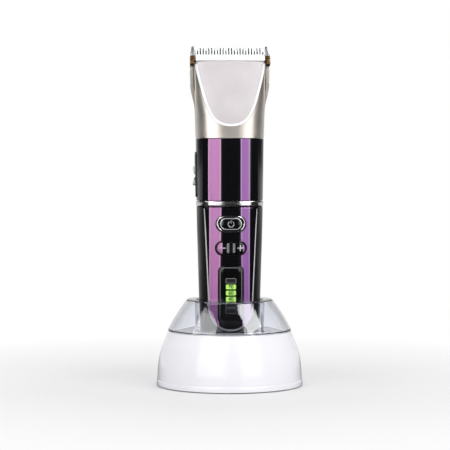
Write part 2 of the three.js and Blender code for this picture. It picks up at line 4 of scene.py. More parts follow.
import bmesh
import bpy
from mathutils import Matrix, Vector


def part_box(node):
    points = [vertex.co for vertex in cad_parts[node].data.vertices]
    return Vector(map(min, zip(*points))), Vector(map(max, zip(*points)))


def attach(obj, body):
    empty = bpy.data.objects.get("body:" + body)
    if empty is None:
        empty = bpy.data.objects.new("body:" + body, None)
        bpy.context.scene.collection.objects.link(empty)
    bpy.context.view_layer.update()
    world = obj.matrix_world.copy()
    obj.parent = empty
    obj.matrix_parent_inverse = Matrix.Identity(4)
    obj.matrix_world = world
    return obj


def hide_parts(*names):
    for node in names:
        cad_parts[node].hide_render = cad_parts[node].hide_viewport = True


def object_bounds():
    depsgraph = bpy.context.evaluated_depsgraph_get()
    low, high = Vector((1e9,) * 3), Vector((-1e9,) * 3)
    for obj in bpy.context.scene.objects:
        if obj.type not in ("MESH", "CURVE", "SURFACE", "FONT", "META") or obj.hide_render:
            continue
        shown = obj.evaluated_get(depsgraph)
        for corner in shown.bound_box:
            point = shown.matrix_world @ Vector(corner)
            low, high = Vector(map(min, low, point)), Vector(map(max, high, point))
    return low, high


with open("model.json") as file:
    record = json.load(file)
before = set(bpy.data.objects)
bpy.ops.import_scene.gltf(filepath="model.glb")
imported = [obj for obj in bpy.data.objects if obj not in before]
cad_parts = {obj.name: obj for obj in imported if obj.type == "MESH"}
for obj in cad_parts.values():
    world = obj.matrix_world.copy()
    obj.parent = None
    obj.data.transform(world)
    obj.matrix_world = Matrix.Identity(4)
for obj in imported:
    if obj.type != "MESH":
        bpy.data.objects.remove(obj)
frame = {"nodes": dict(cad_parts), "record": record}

cad_low, cad_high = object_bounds()
MM = 0.001     # the script works in millimetres
GAP = 0.3      # between neighbouring pieces
WALL = 2.0     # of the moulded shells

# ---- sections of the object


def mm_box(node):
    low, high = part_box(node)
    return [v / MM for v in low], [v / MM for v in high]


# each row is a height, with the half width, front depth and back depth there
BODY = [[35.0, 19.4, 16.8, 16.8], [61.0, 20.1, 17.2, 17.4],
        [117.0, 21.6, 18.0, 18.6], [161.0, 22.2, 18.6, 19.2]]
HEAD = [[161.0, 22.2, 18.6, 19.2], [175.0, 22.5, 17.6, 19.0],
        [190.0, 22.9, 14.6, 16.4], [211.0, 23.3, 9.6, 9.0]]
COVER = [[161.0, 22.2, 18.6, 19.2], [177.0, 22.7, 17.2, 19.0], [183.0, 23.2, 16.2, 18.2],
         [187.0, 24.2, 15.2, 17.4], [191.0, 25.1, 14.4, 16.3], [195.0, 25.7, 13.4, 15.0],
         [208.0, 25.9, 10.2, 10.0], [214.0, 25.9, 8.6, 7.2]]
BODY_POWER, HEAD_POWER = 2.6, 2.9


class Form:
    """A rounded-box body whose half width and depths vary smoothly with height."""

    def __init__(self, sections, powers):
        self.rows, self.powers = sections, powers
        runs = [[(b[i] - a[i]) / (b[0] - a[0]) for i in (1, 2, 3)] for a, b in zip(sections, sections[1:])]
        self.tangents = []
        for left, right in zip(runs[:1] + runs, runs + runs[-1:]):
            self.tangents.append([0.0 if p * q <= 0 else 2 * p * q / (p + q) for p, q in zip(left, right)])

    def at(self, z):
        """Half width, front depth and back depth at a height."""
        rows = self.rows
        z = min(max(z, rows[0][0]), rows[-1][0])
        k = max(i for i in range(len(rows) - 1) if rows[i][0] <= z or i == 0)
        h = rows[k + 1][0] - rows[k][0]
        t = (z - rows[k][0]) / h
        out = []
        for a, b, ma, mb in zip(rows[k][1:], rows[k + 1][1:], self.tangents[k], self.tangents[k + 1]):
            out.append((2 * t**3 - 3 * t**2 + 1) * a + (t**3 - 2 * t**2 + t) * ma * h
                       + (3 * t**2 - 2 * t**3) * b + (t**3 - t**2) * mb * h)
        return out

    def power(self, z):
        """How square the corners are: 2 is an ellipse, larger is boxier."""
        low = self.powers[0]
        for high in self.powers[1:]:
            if z < high[0]:
                return low[1] + (high[1] - low[1]) * max(z - low[0], 0) / (high[0] - low[0])
            low = high
        return low[1]

    def front(self, x, z, inset=0.0):
        """Y of the front surface at x, z."""
        half, depth, _ = (v - inset for v in self.at(z))
        u, power = min(abs(x) / half, 0.9995), self.power(z)
        return -depth * (1 - u**power) ** (1 / power)

    def normal(self, p):
        """Outward normal of the surface nearest a point."""
        def field(x, y, z):
            half, front, back = self.at(z)
            depth, power = front if y < 0 else back, self.power(z)
            return (abs(x) / half) ** power + (abs(y) / depth) ** power
        x, y, z = p
        e = 0.02
        g = Vector((field(x + e, y, z) - field(x - e, y, z), field(x, y + e, z) - field(x, y - e, z),
                    field(x, y, z + e) - field(x, y, z - e)))
        return g.normalized() if g.length > 1e-9 else Vector((0, -1, 0))


body_form = Form(BODY, [(0, BODY_POWER)])
head_form = Form(HEAD, [(175, HEAD_POWER), (190, 3.3), (211, 4.2)])
cover_form = Form(COVER, [(0, HEAD_POWER)])


def section(form, z, inset, count, y_low=None, y_high=None):
    """Points round one section: the whole loop, or the open run between y_low and y_high."""
    half, front, back = (v - inset for v in form.at(z))
    power = form.power(z)
    dense = []
    for i in range(720):
        # starts at the side away from the kept run, so that an open run is one piece
        angle = math.tau * i / 720 + (math.pi / 2 if y_high is not None else -math.pi / 2)
        c, s = math.cos(angle), math.sin(angle)
        x = half * math.copysign(abs(c) ** (2 / power), c)
        y = (front if s < 0 else back) * math.copysign(abs(s) ** (2 / power), s)
        dense.append((x, y, z))
    if y_low is None and y_high is None:
        return loop_of(count, dense)
    keep = [p for p in dense if (y_high is None or p[1] <= y_high) and (y_low is None or p[1] >= y_low)]
    edge = y_high if y_high is not None else y_low
    x = half * (1 - min(abs(edge) / (front if edge < 0 else back), 1) ** power) ** (1 / power)
    ends = [(math.copysign(x, p[0]), edge, z) for p in (keep[0], keep[-1])]
    return resample(ends[:1] + keep + ends[1:], count)


def resample(points, count):
    """Evenly spaced points along a run of points."""
    lengths = [0.0]
    for a, b in zip(points, points[1:]):
        lengths.append(lengths[-1] + math.dist(a, b))
    out, k = [], 0
    for i in range(count):
        s = lengths[-1] * i / (count - 1)
        while k < len(lengths) - 2 and lengths[k + 1] < s:
            k += 1
        span = lengths[k + 1] - lengths[k]
        t = (s - lengths[k]) / span if span > 1e-12 else 0
        out.append(tuple(a + (b - a) * t for a, b in zip(points[k], points[k + 1])))
    return out


def loop_of(count, outline):
    """Evenly spaced points round a closed outline."""
    return resample(outline + outline[:1], count + 1)[:-1]


def spaced(low, high, count):
    return [low + (high - low) * i / (count - 1) for i in range(count)]


# ---- meshes


def add(name, data):
    obj = bpy.data.objects.new(name, data)
    bpy.context.scene.collection.objects.link(obj)
    return obj


def make(name, rings, capped=True, smooth=True):
    """A skin over a list of rings that have the same number of points."""
    count, last = len(rings[0]), len(rings) - 1
    faces = []
    for k in range(last):
        for i in range(count):
            j = (i + 1) % count
            faces.append((k * count + i, k * count + j, (k + 1) * count + j, (k + 1) * count + i))
    if capped:
        faces += [tuple(range(count)), tuple(range(last * count, (last + 1) * count))]
    mesh = bpy.data.meshes.new(name)
    mesh.from_pydata([(x * MM, y * MM, z * MM) for ring in rings for x, y, z in ring], [], faces)
    obj = add(name, mesh)
    clean(obj)
    return soften(obj) if smooth else obj


def clean(obj):
    bm = bmesh.new()
    bm.from_mesh(obj.data)
    bmesh.ops.remove_doubles(bm, verts=bm.verts, dist=1e-6)
    bmesh.ops.dissolve_degenerate(bm, edges=bm.edges, dist=1e-7)
    bmesh.ops.recalc_face_normals(bm, faces=bm.faces)
    bm.to_mesh(obj.data)
    bm.free()


def soften(obj, degrees=32):
    obj.data.polygons.foreach_set("use_smooth", [True] * len(obj.data.polygons))
    obj.data.set_sharp_from_angle(angle=math.radians(degrees))
    obj.data.update()
    return obj


def evaluated(obj):
    graph = bpy.context.evaluated_depsgraph_get()
    return bpy.data.meshes.new_from_object(obj.evaluated_get(graph))


def bake(obj):
    """Applies the object's modifiers to its mesh."""
    mesh, old = evaluated(obj), obj.data
    obj.modifiers.clear()
    obj.data = mesh
    bpy.data.meshes.remove(old)


def boolean(obj, others, operation="DIFFERENCE", smooth=32):
    for other in others if isinstance(others, (list, tuple)) else [others]:
        mod = obj.modifiers.new("cut", "BOOLEAN")
        mod.operation, mod.solver, mod.object = operation, "EXACT", other
        bake(obj)
        mesh = other.data
        bpy.data.objects.remove(other)
        bpy.data.meshes.remove(mesh)
    if smooth:
        soften(obj, smooth)
    return obj


def rounded(obj, width, segments, angle):
    mod = obj.modifiers.new("edges", "BEVEL")
    mod.width, mod.segments, mod.limit_method = width * MM, segments, "ANGLE"
    mod.angle_limit = math.radians(angle)
    bake(obj)
    return soften(obj, 40)


def levels_with_rims(low, high, count, edge=0.35, inset_low=True, inset_high=True):
    """Heights with an extra inset each, so that both rims of a shell are rounded over."""
    steps = [(0.0, 1.0), (0.08, 0.55), (0.3, 0.2), (0.62, 0.04), (1.0, 0.0)]
    rows = []
    if inset_low:
        rows += [(low + edge * t, edge * 0.8 * s) for t, s in steps]
    body = spaced(low + edge * inset_low, high - edge * inset_high, count)
    rows += [(z, 0.0) for z in body[int(inset_low):count - inset_high]]
    if inset_high:
        rows += [(high - edge * t, edge * 0.8 * s) for t, s in reversed(steps)]
    return rows


def shell(name, form, rows, count, y_low=None, y_high=None):
    """A moulded shell with a real wall, whole or cut at a plane of constant Y."""
    outer = [section(form, z, extra, count, y_low, y_high) for z, extra in rows]
    inner = [section(form, z, WALL, count, y_low, y_high) for z, _ in rows]
    if y_low is None and y_high is None:
        return make(name, outer + inner[::-1] + outer[:1], False)
    # each row runs out along the outer skin and back along the inner one
    return make(name, [skin + wall[::-1] for skin, wall in zip(outer, inner)])


def arc_run(cx, cz, radius, start, stop, count):
    """Points along an arc, between two angles in degrees."""
    turns = [math.radians(a) for a in spaced(start, stop, count)]
    return [(cx + radius * math.cos(a), cz + radius * math.sin(a)) for a in turns]


def rounded_rect(x0, x1, z0, z1, radius, spacing=0.7):
    """Closed outline of a rounded rectangle in X and Z, as evenly spaced points."""
    corners = [(x1 - radius, z0 + radius, -90), (x1 - radius, z1 - radius, 0),
               (x0 + radius, z1 - radius, 90), (x0 + radius, z0 + radius, 180)]
    points = []
    for cx, cz, start in corners:
        points += arc_run(cx, cz, radius, start, start + 90, 13)
    length = sum(math.dist(a, b) for a, b in zip(points, points[1:] + points[:1]))
    return loop_of(max(24, int(length / spacing) // 4 * 4), points)


def circle(z, radius, count):
    return arc_run(0, z, radius, 0, 360, count + 1)[:-1]


def bezier(a, b, c, d, count):
    out = []
    for k in range(count + 1):
        t = k / count
        weights = ((1 - t) ** 3, 3 * t * (1 - t) ** 2, 3 * t * t * (1 - t), t**3)
        out.append(tuple(sum(w * v for w, v in zip(weights, values)) for values in zip(a, b, c, d)))
    return out


def nearest_on(spine, p):
    (x0, z0), (x1, z1) = spine
    dx, dz = x1 - x0, z1 - z0
    span = dx * dx + dz * dz
    t = 0 if span < 1e-9 else min(max(((p[0] - x0) * dx + (p[1] - z0) * dz) / span, 0), 1)
    return (x0 + dx * t, z0 + dz * t)


def drawn_in(p, c, inward, scale=1.0):
    """A point moved towards its centre by a distance and then scaled about it."""
    reach = math.dist(p, c)
    s = max(reach - inward, 0) / reach * scale if reach > 1e-9 else 0
    return c[0] + (p[0] - c[0]) * s, c[1] + (p[1] - c[1]) * s


def quarter(edge, steps=5):
    """How far in and how far down each step of a rounded edge lies."""
    turns = [math.pi / 2 * k / steps for k in range(steps + 1)]
    return [(edge * (1 - math.cos(a)), edge * (1 - math.sin(a))) for a in turns]


def patch(name, form, outline, spine, proud=0.0, edge=0.3, back=1.6, crown=0.0, rings=7, chamfer=None):
    """A piece that follows the front surface inside an outline, with a rounded or chamfered rim."""
    centres = [nearest_on(spine, p) for p in outline]

    def ring(inward, scale, inset):
        points = [drawn_in(p, c, inward, scale) for p, c in zip(outline, centres)]
        return [(x, form.front(x, z, inset), z) for x, z in points]

    if chamfer:
        run, drop = chamfer
        shown = [ring(0, 1, -proud + drop + 0.12), ring(0.04, 1, -proud + drop + 0.02),
                 ring(0.14, 1, -proud + drop - 0.08), ring(run - 0.14, 1, -proud + 0.1),
                 ring(run, 1, -proud + 0.02), ring(run + 0.15, 1, -proud)]
        inner = run + 0.15
    else:
        shown = [ring(inward, 1, -proud + drop) for inward, drop in quarter(edge)]
        inner = edge
    for k in range(1, rings + 1):
        scale = 1 - 0.96 * k / rings
        shown.append(ring(inner, scale, -proud - crown * (1 - scale * scale)))
    behind = [ring(0.05, 1 - 0.24 * k, back) for k in range(4, -1, -1)]
    return make(name, behind + shown)


def prism(name, outline, y0, y1):
    return make(name, [[(x, y, z) for x, z in outline] for y in (y0, y1)], smooth=False)


def block(name, low, high):
    (x0, y0, z0), (x1, y1, z1) = low, high
    return prism(name, [(x0, z0), (x1, z0), (x1, z1), (x0, z1)], y0, y1)


def lathe(name, profile, segments):
    """Turns a closed profile of radius and height about the Z axis."""
    turns = [math.tau * i / segments for i in range(segments)]
    rings = [[(r * math.cos(a), r * math.sin(a), z) for a in turns] for r, z in profile + profile[:1]]
    return make(name, rings, False)


def smooth_run(points, per=6):
    """A smooth curve through the points, in the given number of steps between each two."""
    out = []
    last = len(points) - 1
    for k in range(last):
        near = points[max(k - 1, 0)], points[k], points[k + 1], points[min(k + 2, last)]
        for j in range(per):
            t = j / per
            out.append(tuple(
                0.5 * (2 * b + (c - a) * t + (2 * a - 5 * b + 4 * c - d) * t * t
                       + (3 * b - a - 3 * c + d) * t**3) for a, b, c, d in zip(*near)))
    out.append(points[last])
    return out


NEAR = 0.25    # how close to a form's surface a face lies to count as being on it


def true_normals(obj, form, inset=0.0):
    """Gives the faces that lie on a form's surface that surface's own normals, whatever their mesh."""
    mesh = obj.data
    normals = [Vector(n.vector) for n in mesh.corner_normals]
    for face in mesh.polygons:
        c = face.center / MM
        n = form.normal(c)
        if face.normal.dot(n) < 0.9:
            continue
        half, front, back = (v - inset for v in form.at(c.z))
        depth, power = front if c.y < 0 else back, form.power(c.z)
        level = (abs(c.x) / half) ** power + (abs(c.y) / depth) ** power
        if abs(level ** (1 / power) - 1) * depth > NEAR:
            continue
        for loop in face.loop_indices:
            v = mesh.vertices[mesh.loops[loop].vertex_index].co / MM
            normals[loop] = form.normal(v)
    mesh.normals_split_custom_set(normals)
    mesh.update()
    return obj


def place(obj, body, slot, material, *nodes):
    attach(obj, body)
    if nodes:
        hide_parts(*nodes)
    obj.data.materials.clear()
    obj.data.materials.append(material)
    return obj


# ---- materials


class Nodes:
    """Short names for adding and joining the nodes of one tree."""

    def __init__(self, tree):
        self.tree = tree

    def node(self, kind, **values):
        n = self.tree.nodes.new(kind)
        for key, value in values.items():
            setattr(n, key, value)
        return n

    def link(self, a, b):
        self.tree.links.new(a, b)

    def fill(self, sockets, values):
        """Sets or links each socket in turn."""
        for socket, value in zip(sockets, values):
            if isinstance(value, bpy.types.NodeSocket):
                self.link(value, socket)
            else:
                socket.default_value = (*value, 1) if isinstance(value, tuple) else value

    def math(self, kind, *values, clamp=False):
        n = self.node("ShaderNodeMath", operation=kind, use_clamp=clamp)
        self.fill(n.inputs, values)
        return n.outputs[0]

    def ramp(self, fac, low, high, out_low=0.0, out_high=1.0):
        n = self.node("ShaderNodeMapRange", clamp=True)
        self.fill(n.inputs, (fac, low, high, out_low, out_high))
        return n.outputs[0]

    def mix(self, fac, a, b):
        n = self.node("ShaderNodeMix", data_type="RGBA")
        self.fill((n.inputs["Factor"], n.inputs[6], n.inputs[7]), (fac, a, b))
        return n.outputs[2]

    def either(self, fac, a, b):
        """The first shader where the factor is 0 and the second where it is 1."""
        n = self.node("ShaderNodeMixShader")
        self.fill(n.inputs, (fac, a, b))
        return n.outputs[0]


class Shade(Nodes):
    """A small builder for node materials around one Principled shader."""

    def __init__(self, name, color, roughness, metallic=0.0, **sockets):
        self.material = bpy.data.materials.new(name)
        self.material.use_nodes = True
        super().__init__(self.material.node_tree)
        self.shader = self.tree.nodes["Principled BSDF"]
        values = {"Base Color": (*color, 1), "Roughness": roughness, "Metallic": metallic, **sockets}
        for key, value in values.items():
            self.shader.inputs[key.replace("_", " ")].default_value = value
        self.coords = self.node("ShaderNodeTexCoord").outputs["Object"]
        self.height = None

    def noise(self, scale, detail=3, stretch=None, distortion=0.0):
        n = self.node("ShaderNodeTexNoise")
        n.inputs["Scale"].default_value = scale
        n.inputs["Detail"].default_value = detail
        n.inputs["Distortion"].default_value = distortion
        source = self.coords
        if stretch:
            m = self.node("ShaderNodeMapping")
            m.inputs["Scale"].default_value = stretch
            self.link(self.coords, m.inputs["Vector"])
            source = m.outputs[0]
        self.link(source, n.inputs["Vector"])
        return n.outputs["Fac"]

    def rough_from(self, fac, low, high):
        self.link(self.ramp(fac, 0.3, 0.7, low, high), self.shader.inputs["Roughness"])
        return self

    def bump(self, fac, strength, distance):
        n = self.node("ShaderNodeBump")
        n.inputs["Strength"].default_value = strength
        n.inputs["Distance"].default_value = distance
        self.link(fac, n.inputs["Height"])
        if self.height:
            self.link(self.height, n.inputs["Normal"])
        self.height = n.outputs["Normal"]
        self.link(self.height, self.shader.inputs["Normal"])
        return self

    def tint(self, fac, low, high):
        self.link(self.mix(self.ramp(fac, 0.3, 0.7), low, high), self.shader.inputs["Base Color"])
        return self

    def worn(self, base, edge, amount):
        """Lighter, polished edges where the surface is sharply convex, broken up by noise."""
        point = self.node("ShaderNodeNewGeometry").outputs["Pointiness"]
        mask = self.ramp(point, 0.53, 0.62)
        mask = self.math("MULTIPLY", mask, self.ramp(self.noise(900), 0.35, 0.65, 0, amount))
        self.link(self.mix(mask, base, edge), self.shader.inputs["Base Color"])
        return self


def scaled(color, k, lift=0.0):
    return tuple(min(c * k + lift, 1) for c in color)


def srgb(r, g, b):
    return tuple((c / 255 / 12.92) if c <= 10 else ((c / 255 + 0.055) / 1.055) ** 2.4 for c in (r, g, b))


def satin_metal(name, color, roughness, metallic, grain=0.10):
    s = Shade(name, color, roughness, metallic)
    flake = s.noise(2600, 2)
    cloud = s.noise(70, 4)
    s.tint(cloud, scaled(color, 0.96), scaled(color, 1.03))
    s.rough_from(cloud, roughness - 0.04, roughness + 0.05)
    return s.bump(flake, grain, 0.00002).bump(cloud, 0.05, 0.0001).material


def brushed(name, color, roughness, along=(4, 300, 300), metallic=1.0):
    s = Shade(name, color, roughness, metallic)
    grain = s.noise(12, 4, along)
    s.worn(scaled(color, 0.95), scaled(color, 1.15), 0.5)
    s.rough_from(grain, roughness - 0.06, roughness + 0.1)
    return s.bump(grain, 0.12, 0.00003).material


def gloss(name, color, roughness, metallic=0.0, coat=0.6, peel=0.03):
    s = Shade(name, color, roughness, metallic, Coat_Weight=coat, Coat_Roughness=0.03)
    smudge = s.noise(45, 4, distortion=0.6)
    s.worn(color, scaled(color, 1.3, 0.003), 0.5)
    s.rough_from(smudge, roughness * 0.8, roughness * 1.35)
    return s.bump(s.noise(160, 2), peel, 0.00004).material


def matt(name, color, roughness, grain=0.25, scale=1800):
    s = Shade(name, color, roughness)
    spark = s.noise(scale, 3)
    s.worn(color, scaled(color, 1.6, 0.02), 0.6)
    s.rough_from(s.noise(60, 3), roughness - 0.06, roughness + 0.08)
    return s.bump(spark, grain, 0.00004).material


LACQUER = (0.004, 0.0035, 0.005)
MIDDLE_Z = 140.0   # where a band has the width that it is given


def painted_reflection_bands(name, bands):
    """Gloss black lacquer with metallic purple bands painted where two soft lights reflect on the shell, as
    painted reflections, each with a lighter painted highlight line along its edge; each band is (x0, x1,
    spread, tone, line).
    """
    s = Shade(name, LACQUER, 0.10, 0.0, Coat_Weight=0.35, Coat_Roughness=0.04)
    split = s.node("ShaderNodeSeparateXYZ")
    s.link(s.coords, split.inputs[0])
    x = s.math("MULTIPLY", split.outputs[0], 1000)
    z = s.math("MULTIPLY", split.outputs[2], 1000)
    flow = s.ramp(s.noise(26, 3, (3, 3, 0.4)), 0.3, 0.7)
    rise = s.math("SUBTRACT", z, MIDDLE_Z)
    colour, painted = LACQUER, None
    for x0, x1, spread, tone, line in bands:
        # the outer edge of a band is upright, and its inner edge drifts by spread in 100 mm of height
        drift = s.math("MULTIPLY", rise, spread / 200)
        away = s.math("ABSOLUTE", s.math("SUBTRACT", s.math("SUBTRACT", x, (x0 + x1) / 2), drift))
        half = s.math("ADD", s.math("MULTIPLY", rise, abs(spread) / 200), (x1 - x0) / 2)
        inside = s.math("SUBTRACT", half, away)
        # rim is 1 along a band's edge, where the lighter line tone paints a highlight
        band, rim = s.ramp(inside, -0.1, 0.1), s.ramp(inside, 0.25, 1.0, 1, 0)
        body = s.mix(flow, scaled(tone, 0.9), scaled(tone, 1.1))
        colour = s.mix(band, colour, s.mix(rim, body, line))
        painted = band if painted is None else s.math("MAXIMUM", painted, band)
    s.link(colour, s.shader.inputs["Base Color"])
    s.link(s.math("MULTIPLY", painted, 0.35), s.shader.inputs["Metallic"])
    fine = s.ramp(s.noise(40, 4), 0.3, 0.7, 0.06, 0.11)
    s.link(s.math("ADD", fine, s.math("MULTIPLY", painted, 0.24)), s.shader.inputs["Roughness"])
    return s.bump(s.noise(140, 2), 0.02, 0.00004).bump(s.noise(3000, 2), 0.02, 0.00001).material


def clear_plastic(name, color):
    s = Shade(name, color, 0.0, 0.0, Transmission_Weight=1.0, IOR=1.47)
    s.rough_from(s.noise(30, 3), 0.0, 0.02)
    return s.bump(s.noise(60, 2), 0.012, 0.00005).material


def glowing(material, color, strength):
    shader = material.node_tree.nodes["Principled BSDF"]
    shader.inputs["Emission Color"].default_value = (*color, 1)
    shader.inputs["Emission Strength"].default_value = strength
    return material


CHAMPAGNE = satin_metal("champagne_satin", srgb(236, 228, 220), 0.32, 0.92)
PLATE = satin_metal("pale_plate", srgb(208, 202, 204), 0.42, 0.04, 0.06)
# the plate's chamfer is painted near white and glows faintly: a painted highlight
PLATE_EDGE_HIGHLIGHT = glowing(satin_metal("plate_bevel_painted_highlight", srgb(254, 253, 253), 0.3, 0.0, 0.03), (1, 1, 1), 0.12)
# the panel's chamfer is painted pale grey and glows faintly: a painted highlight along its seam
PANEL_EDGE_HIGHLIGHT = glowing(satin_metal("panel_bevel_painted_highlight", srgb(206, 202, 208), 0.24, 0.15, 0.03), (1, 1, 1), 0.06)
STEEL = brushed("steel_satin", srgb(196, 196, 200), 0.3)
GROUND = brushed("ground_comb", srgb(244, 246, 246), 0.4, (300, 300, 6), 0.1)
CERAMIC = matt("cutter_ceramic", srgb(216, 218, 222), 0.4, 0.05)
# dark for the cutter's tips: painted shade in the top of the comb's gaps
CUTTER_TIP_SHADE = matt("cutter_tips_painted_shade", srgb(58, 58, 64), 0.35, 0.05)
BRASS = brushed("guide_brass", srgb(126, 98, 68), 0.36)
CHROME = brushed("chrome_polished", srgb(236, 236, 238), 0.07, (5, 60, 60))
RING = brushed("ring_polished", srgb(226, 222, 224), 0.14, (5, 60, 60))
THUMB = gloss("thumb_silver", srgb(216, 216, 220), 0.2, 0.3)
BLACK = gloss("gloss_black", (0.003, 0.003, 0.0035), 0.1)
MATT_BLACK = matt("matt_black", (0.011, 0.011, 0.012), 0.42, 0.3)
SOFT_BLACK = matt("soft_black", (0.008, 0.008, 0.009), 0.3, 0.12, 2400)
RUBBER = matt("rubber_black", (0.02, 0.02, 0.02), 0.8, 0.5, 1200)
WHITE = gloss("gloss_white", srgb(245, 245, 250), 0.16, 0.0, 0.4, 0.015)
CLEAR = clear_plastic("clear_cover", (0.935, 0.945, 0.985))
GREEN = glowing(matt("level_lit", srgb(168, 224, 96), 0.35, 0.03), srgb(190, 240, 120), 0.3)
GREEN_EDGE = matt("level_edge", srgb(92, 150, 44), 0.4, 0.03)
UNLIT = matt("level_unlit", (0.012, 0.016, 0.012), 0.3, 0.03)
# grey for the strips at the inner ends of the minus and plus keys: a painted highlight of the keys' edges
KEY_EDGE_HIGHLIGHT = satin_metal("key_edge_painted_highlight", srgb(150, 148, 152), 0.3, 0.5, 0.03)
PRINT = satin_metal("grey_print", srgb(138, 138, 140), 0.4, 0.05, 0.03)
DIGIT = matt("level_digit", srgb(10, 34, 8), 0.5, 0.03)
BOARD = matt("board_green", srgb(28, 86, 52), 0.4, 0.15)
CELL = gloss("cell_wrap", srgb(60, 108, 172), 0.3)
GOLD = brushed("contact_gold", srgb(222, 184, 96), 0.16)
ICON = satin_metal("icon_silver", srgb(228, 222, 228), 0.25, 0.6, 0.02)

# tones of the painted reflections in the bands and of their lighter edge lines; the left band is painted
# lighter and pinker than the right
LEFT_REFLECTION_TONES = srgb(180, 116, 172), srgb(212, 160, 204)
RIGHT_REFLECTION_TONES = srgb(148, 92, 164), srgb(186, 146, 200)
UPPER = painted_reflection_bands("upper_painted_reflections", [(-14.6, -6.6, 0.0, *LEFT_REFLECTION_TONES), (6.3, 12.2, 0.0, *RIGHT_REFLECTION_TONES)])
LOWER = painted_reflection_bands("panel_painted_reflections", [(-13.9, -5.9, 1.6, *LEFT_REFLECTION_TONES), (6.1, 12.2, -1.2, *RIGHT_REFLECTION_TONES)])
KEY = painted_reflection_bands("key_painted_reflections", [(-14.0, -5.6, 0.0, *LEFT_REFLECTION_TONES), (7.8, 13.0, 0.0, *RIGHT_REFLECTION_TONES)])

# ---- handset body


def paint(obj, material, chosen):
    """Gives the chosen faces a finish of their own."""
    obj.data.materials.append(material)
    for face in obj.data.polygons:
        if chosen(face):
            face.material_index = 1


def paint_chamfer(obj, form, material, top):
    """Paints the sloping faces round the rim of a patch, up to a level."""
    def sloping(face):
        facing = face.normal.dot(form.normal(face.center / MM))
        return face.center.y < 0 and face.center.z < top * MM and 0.35 < facing < 0.97
    paint(obj, material, sloping)


def middle_z(node):
    low, high = mm_box(node)
    return (low[2] + high[2]) / 2


upper_low, upper_high = mm_box("upper_front_shell")
ring_low, ring_high = mm_box("trim_ring")
lower_low, lower_high = mm_box("lower_shell")
panel_top = mm_box("front_panel")[1][2]
slider_low, slider_high = mm_box("slider_bezel")
split_front, split_back = upper_high[1], mm_box("upper_rear_shell")[0][1]

rows = levels_with_rims(upper_low[2], upper_high[2], 26, 0.3)
front_half = shell("upper_shell_front", body_form, rows, 180, y_high=split_front)
boolean(front_half, block("pocket", (-30, -5.1, slider_low[2] - GAP), (-20.75, 5.1, slider_high[2] + GAP)))
place(true_normals(front_half, body_form), "handset", "purple_gloss", UPPER, "upper_front_shell")

rear_half = shell("upper_shell_rear", body_form, rows, 140, y_low=split_back)
screws = [prism("hole", circle(middle_z(f"body_screw_{k}"), 2.2, 40), 14, 30) for k in (1, 2)]
boolean(rear_half, screws)
place(true_normals(rear_half, body_form), "handset", "black_gloss", BLACK, "upper_rear_shell")

band = [(z, max(-0.3, -0.3 + extra)) for z, extra in levels_with_rims(ring_low[2], ring_high[2], 5, 0.8)]
place(shell("trim_band", body_form, band, 200), "handset", "chrome", RING, "trim_ring")

# lower shell with its closed, rounded foot
foot = [(lower_low[2] + up, inset) for up, inset in quarter(2.0, 6)]
skin_rows = foot + levels_with_rims(lower_low[2] + 2.1, lower_high[2], 30, 0.3, inset_low=False)
skin = [section(body_form, z, extra, 200) for z, extra in skin_rows]
hollow = [section(body_form, z, WALL, 200) for z in spaced(lower_high[2], lower_low[2] + 2.2, 12)]
lower = make("lower_body", skin + hollow)


def mirrored(half):
    """A run of points that ends on the middle line, followed by its mirror image."""
    return half + [(-x, z) for x, z in reversed(half)][1:]


def panel_outline(grow, top):
    side = (-14.7 - grow, 54), (-14.1 - grow, 46), (-11.4 - grow, 36.6 - grow), (0, 36.6 - grow)
    return loop_of(300, [(-17.6 - grow, top)] + mirrored(bezier(*side, 24)) + [(17.6 + grow, top)])


boolean(lower, [prism("opening", panel_outline(0.15, lower_high[2] + 3), -40, -5),
                *(prism("pin_well", rounded_rect(x, x + 6, 30, 40, 0.5), -3, 3) for x in (-10, 4))])
place(true_normals(lower, body_form), "handset", "black_matte", SOFT_BLACK, "lower_shell")

power_z, adjust_z = middle_z("power_bezel"), middle_z("adjust_bezel")
window_low, window_high = mm_box("display_window")
win_x, win_z0, win_z1 = window_high[0], window_low[2], window_high[2]


def pill(half_x, z, half_z):
    return rounded_rect(-half_x, half_x, z - half_z, z + half_z, half_z - 0.01, 0.35)


def display_pad(side, end):
    return rounded_rect(-win_x - side, win_x + side, win_z0 - end, win_z1 + end, 2.4 + side * 0.7, 0.5)


panel = patch("front_tongue", body_form, panel_outline(-0.15, lower_high[2]), ((0, 99), (0, 51)),
              back=2.0, rings=9, chamfer=(0.8, 0.45))
boolean(panel, [prism("cut_power", pill(10.0, power_z, 5.5), -40, 0),
                prism("cut_adjust", pill(10.4, adjust_z, 4.9), -40, 0),
                prism("cut_display", display_pad(1.8, 1.8), -40, 0)])
place(true_normals(panel, body_form), "handset", "purple_gloss", LOWER, "front_panel")
# paints the panel's chamfer in the glowing pale grey: a painted highlight along the seam
paint_chamfer(panel, body_form, PANEL_EDGE_HIGHLIGHT, top=panel_top - 1.0)


def rim(name, outer, inner, proud, back, power=0.5):
    """A rounded ring between two outlines with the same number of points."""
    rings = [[(x, body_form.front(x, z, back), z) for x, z in outer]]
    for s in spaced(0, 1, 9):
        lift = proud * (1 - (2 * s - 1) ** 2) ** power
        across = [(a[0] + (b[0] - a[0]) * s, a[1] + (b[1] - a[1]) * s) for a, b in zip(outer, inner)]
        rings.append([(x, body_form.front(x, z, -lift), z) for x, z in across])
    rings.append([(x, body_form.front(x, z, back), z) for x, z in inner])
    return make(name, rings + rings[:1], False)


